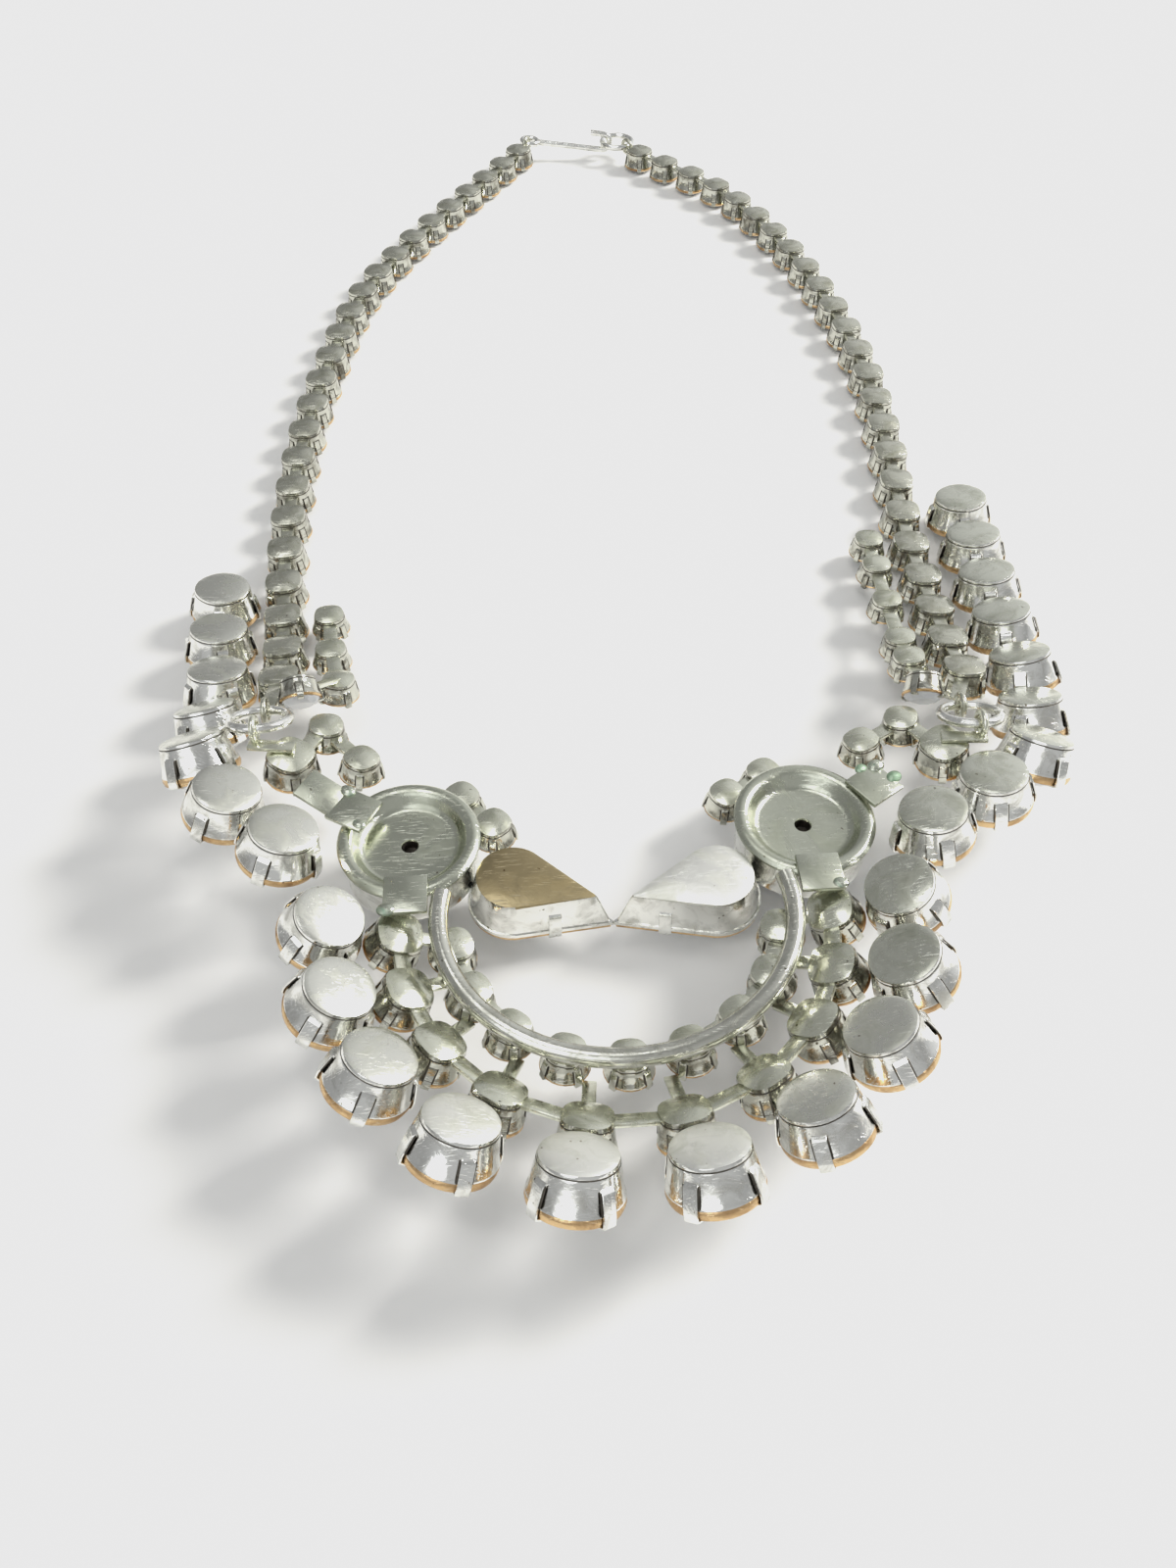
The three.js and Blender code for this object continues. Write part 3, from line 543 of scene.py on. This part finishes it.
bars = {"width": 1.65, "thickness": 0.5, "sink": 0.9, "neckWidth": 1.3, "neckDrop": 2.7,
        "neckGap": 0.4}


def barBetween(first, second, width=bars["width"]):
    start = first["middle"] - first["normal"] * bars["sink"] * mm
    end = second["middle"] - second["normal"] * bars["sink"] * mm
    bar = asMesh(barShape((end - start).length / mm, width, bars["thickness"]), "bar")
    return bar, seatMatrix((start + end) / 2, first["normal"] + second["normal"], end - start)


def rowSeats(row):
    seats = []
    for i, back in enumerate(row):
        ahead = row[min(i + 1, len(row) - 1)]["middle"] - row[max(i - 1, 0)]["middle"]
        if len(row) == 1:
            ahead = Vector((1, 0, 0))
        seats.append((back["size"], seatMatrix(back["middle"], back["normal"], ahead)))
    return seats


def rowBars(row):
    return [barBetween(first, second) for first, second in zip(row, row[1:])]


def nodeMiddle(node):
    low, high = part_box(node)
    return (Vector(low) + Vector(high)) / 2


rings = {"radius": 3.1, "wire": 0.55, "lean": 28, "eyeRadius": 1.2, "eyeWire": 0.35, "chainReach": 3.6,
         "eyeDrop": 0.6, "steps": 40, "sides": 12, "eyeSteps": 24, "eyeSides": 10}
ringMesh = asMesh(ringShape(rings["radius"], rings["wire"], rings["steps"], rings["sides"]), "ring")
eyeMesh = asMesh(ringShape(rings["eyeRadius"], rings["eyeWire"], rings["eyeSteps"], rings["eyeSides"]),
                 "eye")
ringLean = math.radians(rings["lean"])
ringNormal = Vector((0, math.sin(ringLean), math.cos(ringLean)))


def ringEye(ringMiddle, way, back):
    # an upright eye on the ring's wire, and the bar from it to the row
    along = Vector((0, way * math.cos(ringLean), -way * math.sin(ringLean)))
    middle = ringMiddle + along * rings["radius"] * mm
    eyePlace = seatMatrix(middle, ringNormal.cross(along), along)
    reach = along * rings["eyeRadius"] * mm
    eyeEnd = {"middle": middle + reach + ringNormal * bars["sink"] * mm, "normal": ringNormal}
    return [(eyeMesh, eyePlace), barBetween(eyeEnd, back)]


# the walls of these rows take a darkened metal as painted shade among the crowded settings
for word in ("left", "right"):
    ringMiddle = nodeMiddle(f"joining_ring_{word}")
    chain = inRow(settingBacks(f"back_chain_{word}"), ringMiddle)
    last, before = chain[-1], chain[-2]
    ahead = (last["middle"] - before["middle"]).normalized()
    eyeMiddle = last["middle"] + ahead * rings["chainReach"] * mm - last["normal"] * rings["eyeDrop"] * mm
    eyePlace = seatMatrix(eyeMiddle, last["normal"].cross(ahead), ahead)
    extras = rowBars(chain) + ringEye(ringMiddle, 1, chain[0]) + [(eyeMesh, eyePlace)]
    makeSetRow(f"back_chain_{word}", rowSeats(chain), metal["chainMetal"], metal["paintedShadeWall"],
               extras)

    shoulder = inRow(settingBacks(f"shoulder_row_{word}"), ringMiddle)
    extras = rowBars(shoulder) + ringEye(ringMiddle, -1, shoulder[0])
    makeSetRow(f"shoulder_row_{word}", rowSeats(shoulder), metal["rowBack"], metal["paintedShadeWall"],
               extras)

    panel = inRow(settingBacks(f"panel_row_{word}"), ringMiddle)
    makeSetRow(f"panel_row_{word}", rowSeats(panel), metal["rowBack"], metal["paintedShadeWall"],
               rowBars(panel))

    halo = inRow(settingBacks(f"halo_{word}"), ringMiddle)
    makeSetRow(f"halo_{word}", rowSeats(halo), metal["rowBack"], metal["paintedShadeWall"],
               rowBars(halo))

    ring = bmesh.new()
    addShape(ring, ringMesh, seatMatrix(ringMiddle, ringNormal, Vector((1, 0, 0))))
    makePiece(f"joiningRing_{word}", ring, [metal["brightWall"]], [f"joining_ring_{word}"])
print("chains and side rows made")


# crescent: the bent rod, the middle row with a neck under the rod from each cup, and the inner row

rod = {"middle": (-3.782, -83.755, 9.80), "halfAcross": 17, "halfAlong": 14.8, "turn": 102, "rise": 1.05,
       "wire": 0.95, "steps": 72, "sides": 14}


def rodPoint(turn):
    angle = math.radians(turn)
    x, y, z = rod["middle"]
    return Vector((x + rod["halfAcross"] * math.sin(angle), y - rod["halfAlong"] * math.cos(angle),
                   z - rod["rise"] * math.cos(angle))) * mm


def rodNeck(back):
    x, y, _ = rod["middle"]
    turn = math.degrees(math.atan2(back["middle"].x / mm - x, y - back["middle"].y / mm))
    foot = rodPoint(turn)
    foot.z -= (rod["wire"] + bars["neckGap"]) * mm
    low = back["normal"] * (bars["neckDrop"] - bars["sink"]) * mm
    start = {"middle": back["middle"] - low, "normal": back["normal"]}
    end = {"middle": foot + back["normal"] * bars["sink"] * mm, "normal": back["normal"]}
    return barBetween(start, end, bars["neckWidth"])


rodLine = [rodPoint(rod["turn"] * (2 * i / rod["steps"] - 1)) for i in range(rod["steps"] + 1)]
rodShape = sweptShape([point / mm for point in rodLine], rod["wire"], rod["sides"])
bmesh.ops.scale(rodShape, vec=(mm, mm, mm), verts=rodShape.verts)
makePiece("bentRod", rodShape, [metal["rodMetal"]], ["crescent_rod"])

rowStart = nodeMiddle("round_setting_left")
middleRow = inRow(settingBacks("middle_row", ["medium"]), rowStart)
# the walls of these rows take a darkened metal as painted shade among the crowded settings
makeSetRow("middle_row", rowSeats(middleRow), metal["rowBack"], metal["paintedShadeWall"],
           rowBars(middleRow) + [rodNeck(back) for back in middleRow])
innerRow = inRow(settingBacks("inner_row"), rowStart)
makeSetRow("inner_row", rowSeats(innerRow), metal["rowBack"], metal["paintedShadeWall"],
           rowBars(innerRow))
print("crescent made", len(middleRow), len(innerRow))


# round settings: a dished back with a rolled rim and a small hole

disc = {"rim": 7.25, "rimWidth": 1.5, "rise": 0.45, "dish": 1.15, "slope": 0.9, "hole": 0.75, "depth": 1.2,
        "wall": 4.6, "girdle": 6.6, "stone": 4.2, "table": 0.55, "steps": 72, "holeFloor": -3,
        "backFrom": -2}


def discShape():
    inner = disc["rim"] - disc["rimWidth"]
    foot = inner - disc["slope"]
    rim, dish, wall, hole, girdle = (disc[word] for word in ("rim", "dish", "wall", "hole", "girdle"))
    holeLine = [(0, -disc["depth"] - dish), (hole, -disc["depth"] - dish), (hole, -dish - 0.15)]
    dishLine = [(hole + 0.15, -dish + 0.04), (0.5 * foot, -dish + 0.1), (foot - 0.4, -dish + 0.02),
                (foot, -dish + 0.1), (foot + 0.45 * disc["slope"], -0.55 * dish)]
    rolledRim = [(inner - 0.1, 0.02), (inner + 0.2, 0.3), (inner + 0.5 * disc["rimWidth"], disc["rise"]),
                 (rim - 0.25, 0.28), (rim, 0.0), (rim - 0.04, -0.35), (rim - 0.25, -0.5)]
    outside = [(girdle + 0.1, 0.5 - wall), (girdle + 0.2, 0.1 - wall), (girdle, -wall), (0, -wall)]
    bm = newShape(holeLine + dishLine + rolledRim + outside, disc["steps"])
    # the hole's inside takes painted shade; the rest is back or wall
    for face in bm.faces:
        middle = face.calc_center_median()
        if middle.xy.length < hole + 0.02 and middle.z > disc["holeFloor"]:
            face.material_index = paintedShadePart
        else:
            face.material_index = backPart if middle.z > disc["backFrom"] else wallPart
    return asMesh(bm, "disc")


discMesh = discShape()
discStone = asMesh(hulled(cutStone(disc["girdle"] - 0.1, 0.1 - disc["wall"], disc["stone"] + 0.1,
                                 disc["table"])), "discStone")
for word in ("left", "right"):
    low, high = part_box(f"round_setting_{word}")
    top = Vector(((low[0] + high[0]) / 2, (low[1] + high[1]) / 2, high[2] - disc["rise"] * mm))
    place = Matrix.Translation(top) @ Matrix.Scale(mm, 4)
    body, stone = bmesh.new(), bmesh.new()
    addShape(body, discMesh, place)
    addShape(stone, discStone, place)
    makePiece(f"roundSetting_{word}", body, [metal["dishMetal"], metal["brightWall"], metal["paintedShade"]],
              [f"round_setting_{word}"])
    makePiece(f"roundStone_{word}", stone, [clearStone], crisp=True)
print("round settings made")


# pears: hulls of a circle and a tip on several levels

pears = {
    "left": {"place": (-13.650, -77.762, 8.05), "turn": -17.49, "length": 12.26, "tabAlong": 3.2,
             "metal": "tanBack", "slot": "tan_metal"},
    # the right pear's back takes the paler copy of the metal as painted light
    "right": {"place": (6.685, -78.901, 8.05), "turn": 190.63, "length": 12.51, "tabAlong": 4.2,
              "metal": "paintedLightBack", "slot": "bright_silver"},
}
pear = {"radius": 3.7, "flare": 0.75, "wall": 4.2, "edge": 0.35, "dip": 3, "stone": 1.7, "table": 0.55,
        "tip": 0.12, "tabWidth": 1.3, "foilDepth": 0.5, "backFrom": -0.2, "steps": 36, "facets": 12}


def pearHull(name, length, levels, count, parts=(0, 0)):
    # each level is the outline's growth, its height and its share of the size; parts are top and side
    bm = bmesh.new()
    for growth, height, share in levels:
        radius = (pear["radius"] + growth) * share
        reach = (length - pear["radius"] + growth * (length / pear["radius"] - 1)) * share
        place = Matrix.Translation((0, 0, height))
        bmesh.ops.create_circle(bm, segments=count, radius=radius, matrix=place)
        for side in (pear["tip"], -pear["tip"]):
            bmesh.ops.create_vert(bm, co=(reach, side, height))
    hulled(bm)
    for face in bm.faces:
        face.material_index = parts[0] if face.calc_center_median().z > pear["backFrom"] else parts[1]
    return asMesh(bm, name)


def pearLevels():
    flare, wall, foilDepth = pear["flare"], pear["wall"], pear["foilDepth"]
    return {
        "body": [(-2.2, 0.2, 1), (-1.2, 0.14, 1), (-0.3, 0.0, 1), (-0.05, -0.08, 1),
                 (0.04, -pear["edge"], 1), (flare, -wall, 1)],
        "lip": [(flare + 0.08, 0.35 - wall, 1), (flare + 0.14, -wall, 1), (flare - 0.1, -wall - 0.08, 1)],
        "foil": [(flare + 0.02, -wall, 1), (flare + 0.02, -wall - foilDepth, 1)],
        "stone": [(flare - 0.1, -wall - 0.3, 1), (flare - 0.1, -wall - 0.55, 1),
                  (flare - 0.3, -wall - 1.1, 0.84), (flare - 0.3, -wall - pear["stone"], pear["table"])],
    }


def pearTab(choice):
    # a folded tab that comes down the wall and holds the stone's edge
    flare, wall, radius = pear["flare"], pear["wall"], pear["radius"]
    bm = bmesh.new()
    path = [(radius + 0.35 * flare, -0.4 * wall), (radius + 0.6 * flare + 0.2, -0.5 * wall),
            (radius + flare + 0.3, -0.95 * wall), (radius + flare + 0.3, -wall - 0.6),
            (radius + flare - 0.5, -wall - 0.95)]
    tabStrip(bm, path, pear["tabWidth"])
    for face in bm.faces:
        face.material_index = wallPart
    tab = asMesh(bm, "pearTab")
    # the sides run towards the tip, so a tab beside it leans with them
    along = choice["tabAlong"]
    slope = math.asin(radius / (choice["length"] - radius))
    seats = [Matrix.Translation((along, -side * along * math.tan(slope), 0))
             @ Matrix.Rotation(side * (math.pi / 2 - slope), 4, "Z") for side in (1, -1)]
    return tab, seats


for word, choice in pears.items():
    place = (Matrix.Translation(Vector(choice["place"]) * mm)
             @ Matrix.Rotation(math.radians(choice["turn"]), 4, "Z")
             @ Matrix.Rotation(math.radians(pear["dip"]), 4, "Y") @ Matrix.Scale(mm, 4))
    length, levels = choice["length"], pearLevels()
    body, foils, stone = bmesh.new(), bmesh.new(), bmesh.new()
    addShape(body, pearHull("pear", length, levels["body"], pear["steps"], (backPart, wallPart)), place)
    addShape(body, pearHull("pearLip", length, levels["lip"], pear["steps"], (wallPart, wallPart)), place)
    tab, seats = pearTab(choice)
    for seat in seats:
        addShape(body, tab, place @ seat)
    addShape(foils, pearHull("pearFoil", length, levels["foil"], pear["steps"]), place)
    addShape(stone, pearHull("pearStone", length, levels["stone"], pear["facets"]), place)
    makePiece(f"pearSetting_{word}", body, [metal[choice["metal"]], metal["brightWall"]],
              [f"pear_setting_{word}"])
    makePiece(f"pearFoil_{word}", foils, [metal["foil"]])
    makePiece(f"pearStone_{word}", stone, [clearStone], crisp=True)
print("pears made")


# small plates soldered between the discs and the rows, with a blob of solder at some corners

plateMetals = [metal["dishMetal"], metal["solderMetal"], metal["verdigris"]]
solder, green = 1, 2
plate = {"width": 4.3, "length": 4.3, "thickness": 0.5, "blobRise": 0.15, "blobFlat": (1, 0.8, 0.45, 1)}
plates = {
    "left_lower": {"turn": 0, "blobs": [(-1.8, -1.7, 0.9, solder)]},
    "right_lower": {"turn": 0, "blobs": [(1.7, -1.5, 0.8, solder)]},
    "right_upper": {"turn": 34, "blobs": [(1.9, 1.6, 1.0, solder), (2.3, -0.6, 0.9, green),
                                          (0.4, 2.3, 0.7, green)]},
}


def blobShape(size, part):
    bm = bmesh.new()
    bmesh.ops.create_icosphere(bm, subdivisions=3, radius=size, matrix=Matrix.Diagonal(plate["blobFlat"]))
    for face in bm.faces:
        face.material_index = part
    return asMesh(bm, "blob")


for word, choice in plates.items():
    place = (Matrix.Translation(nodeMiddle(f"solder_plate_{word}"))
             @ Matrix.Rotation(math.radians(choice["turn"]), 4, "Z") @ Matrix.Scale(mm, 4))
    body = bmesh.new()
    addShape(body, asMesh(barShape(plate["width"], plate["length"], plate["thickness"]), "plate"), place)
    for x, y, size, part in choice["blobs"]:
        addShape(body, blobShape(size, part), place @ Matrix.Translation((x, y, plate["blobRise"])))
    makePiece(f"solderPlate_{word}", body, plateMetals, [f"solder_plate_{word}"])

# the left upper one is a short strap with a raised outer end
strap = {"place": (-29.550, -69.708, 9.9), "turn": -31, "bend": 17, "farLength": 3.65, "farAcross": -3.956,
         "farRise": 0.629, "blobRise": 0.2, "blobs": [(-1.9, 1.7, 0.9), (1.6, -1.4, 0.7)]}
strapPlace = (Matrix.Translation(Vector(strap["place"]) * mm)
              @ Matrix.Rotation(math.radians(strap["turn"]), 4, "Z") @ Matrix.Scale(mm, 4))
body = bmesh.new()
addShape(body, asMesh(barShape(plate["width"], plate["length"], plate["thickness"]), "near"), strapPlace)
farPlace = (strapPlace @ Matrix.Translation((strap["farAcross"], 0, strap["farRise"]))
            @ Matrix.Rotation(math.radians(strap["bend"]), 4, "Y"))
addShape(body, asMesh(barShape(plate["width"], strap["farLength"], plate["thickness"]), "far"), farPlace)
for x, y, size in strap["blobs"]:
    addShape(body, blobShape(size, solder), strapPlace @ Matrix.Translation((x, y, strap["blobRise"])))
makePiece("solderPlate_left_upper", body, plateMetals, ["solder_plate_left_upper"])
print("plates made")


# clasp: a wire hook with a closed loop, and the ring it holds

hook = {"place": (-5.236, 111.981, 3.5), "turn": -4.74, "dip": 5.79, "loop": 1.6, "wire": 0.55,
        "bend": 1.5, "tip": 2.6, "reach": 14.857, "bendSteps": 16, "loopSteps": 28, "sides": 12}


def hookLine():
    # a straight shank, half a turn upwards and a straight tip
    shank, bend, steps = hook["reach"], hook["bend"], hook["bendSteps"]
    line = [(hook["loop"] + (shank - hook["loop"]) * i / 8, 0, 0) for i in range(9)]
    for i in range(1, steps + 1):
        angle = math.pi * i / steps
        line.append((shank + bend * math.sin(angle), 0, bend * (1 - math.cos(angle))))
    line += [(shank - hook["tip"] * i / 4, 0, 2 * bend) for i in range(1, 5)]
    return line


hookPlace = (Matrix.Translation(Vector(hook["place"]) * mm)
             @ Matrix.Rotation(math.radians(hook["turn"]), 4, "Z")
             @ Matrix.Rotation(math.radians(hook["dip"]), 4, "Y") @ Matrix.Scale(mm, 4))
body = bmesh.new()
loopShape = ringShape(hook["loop"], hook["wire"], hook["loopSteps"], hook["sides"])
addShape(body, asMesh(loopShape, "loop"), hookPlace)
addShape(body, asMesh(sweptShape(hookLine(), hook["wire"], hook["sides"]), "shank"), hookPlace)
makePiece("claspHook", body, [metal["brightWall"]], ["clasp_hook"])
body = bmesh.new()
addShape(body, ringMesh, Matrix.Translation(nodeMiddle("clasp_ring")) @ Matrix.Scale(mm, 4))
makePiece("claspRing", body, [metal["brightWall"]], ["clasp_ring"])
print("clasp made")


# floor, lights and camera

floor = {"size": 6.0, "colour": (0.86, 0.855, 0.83), "roughness": 0.7}
bm = bmesh.new()
bmesh.ops.create_grid(bm, x_segments=1, y_segments=1, size=floor["size"] / 2)
floorMesh = asMesh(bm, "floor")
floorObject = bpy.data.objects.new("floor", floorMesh)
bpy.context.scene.collection.objects.link(floorObject)
floorMaterial = bpy.data.materials.new("paleFloor")
floorMaterial.use_nodes = True
floorShader = floorMaterial.node_tree.nodes["Principled BSDF"]
floorShader.inputs["Base Color"].default_value = (*floor["colour"], 1)
floorShader.inputs["Roughness"].default_value = floor["roughness"]
floorMesh.materials.append(floorMaterial)

lights = {
    "windowLight": {"place": (1.45, 0.42, 1.1), "size": 0.62, "power": 36, "colour": (1.0, 0.98, 0.95)},
    "frontFill": {"place": (-0.6, -1.0, 1.2), "size": 1.3, "power": 5.5, "colour": (0.96, 0.98, 1.0)},
    "topSoft": {"place": (-0.3, 0.1, 1.7), "size": 1.0, "power": 4.5, "colour": (1.0, 1.0, 1.0)},
}
lightAim = Vector((0, -0.03, 0))
for name, light in lights.items():
    data = bpy.data.lights.new(name, "AREA")
    data.shape = "DISK"
    data.size = light["size"]
    data.energy = light["power"]
    data.color = light["colour"]
    lamp = bpy.data.objects.new(name, data)
    lamp.location = light["place"]
    lamp.rotation_euler = (lightAim - lamp.location).to_track_quat("-Z", "Y").to_euler()
    bpy.context.scene.collection.objects.link(lamp)

# the room is brightest on the right behind the necklace, where the window is
room = {"brightWay": (0.7, 0.6, 0.38), "brightFrom": 0.6, "brightTo": 1.0, "dim": 0.3, "bright": 0.85,
        "frontFrom": -0.75, "frontTo": -0.2, "frontShare": 1.5, "colour": (0.97, 0.98, 1.0)}
world = bpy.data.worlds.new("studio")
world.use_nodes = True
worldTree = world.node_tree
roomWay = addNode(worldTree, "ShaderNodeTexCoord").outputs["Generated"]
roomShare = addNode(worldTree, "ShaderNodeVectorMath", {0: roomWay, 1: room["brightWay"]},
                    operation="DOT_PRODUCT").outputs["Value"]
roomFront = addNode(worldTree, "ShaderNodeSeparateXYZ", {0: roomWay}).outputs[1]
roomLight = addNode(worldTree, "ShaderNodeMath",
                    {0: spread(worldTree, roomShare, room["brightFrom"], room["brightTo"], room["dim"],
                               room["bright"]),
                     1: spread(worldTree, roomFront, room["frontFrom"], room["frontTo"],
                               room["frontShare"], 1.0)},
                    operation="MULTIPLY").outputs[0]
backdrop = worldTree.nodes["Background"]
backdrop.inputs["Color"].default_value = (*room["colour"], 1)
worldTree.links.new(roomLight, backdrop.inputs["Strength"])
bpy.context.scene.world = world

view = bpy.context.scene.view_settings
view.view_transform = "Standard"
# the pale floor is held just under white, as on the photo
tones = [(0.0, 0.0), (0.7, 0.7), (0.84, 0.795), (1.1, 0.815), (1.5, 0.92), (2.0, 1.0)]
view.use_curve_mapping = True
toneMap = view.curve_mapping
toneMap.clip_max_x = 2.0
toneMap.extend = "HORIZONTAL"
toneCurve = toneMap.curves[3]
for i, (x, y) in enumerate(tones):
    if i < 2:
        toneCurve.points[i].location = (x, y)
    else:
        toneCurve.points.new(x, y)
toneMap.update()

cameraView = {"place": (-0.010862, -0.146797, 0.1033), "turn": (40.28, 0, -3.9), "lens": 27.05}
cameraData = bpy.data.cameras.new("camera")
cameraData.lens = cameraView["lens"]
cameraData.clip_start = 0.005
camera = bpy.data.objects.new("camera", cameraData)
camera.location = cameraView["place"]
camera.rotation_euler = [math.radians(angle) for angle in cameraView["turn"]]
bpy.context.scene.collection.objects.link(camera)
bpy.context.scene.camera = camera
print("stage set")
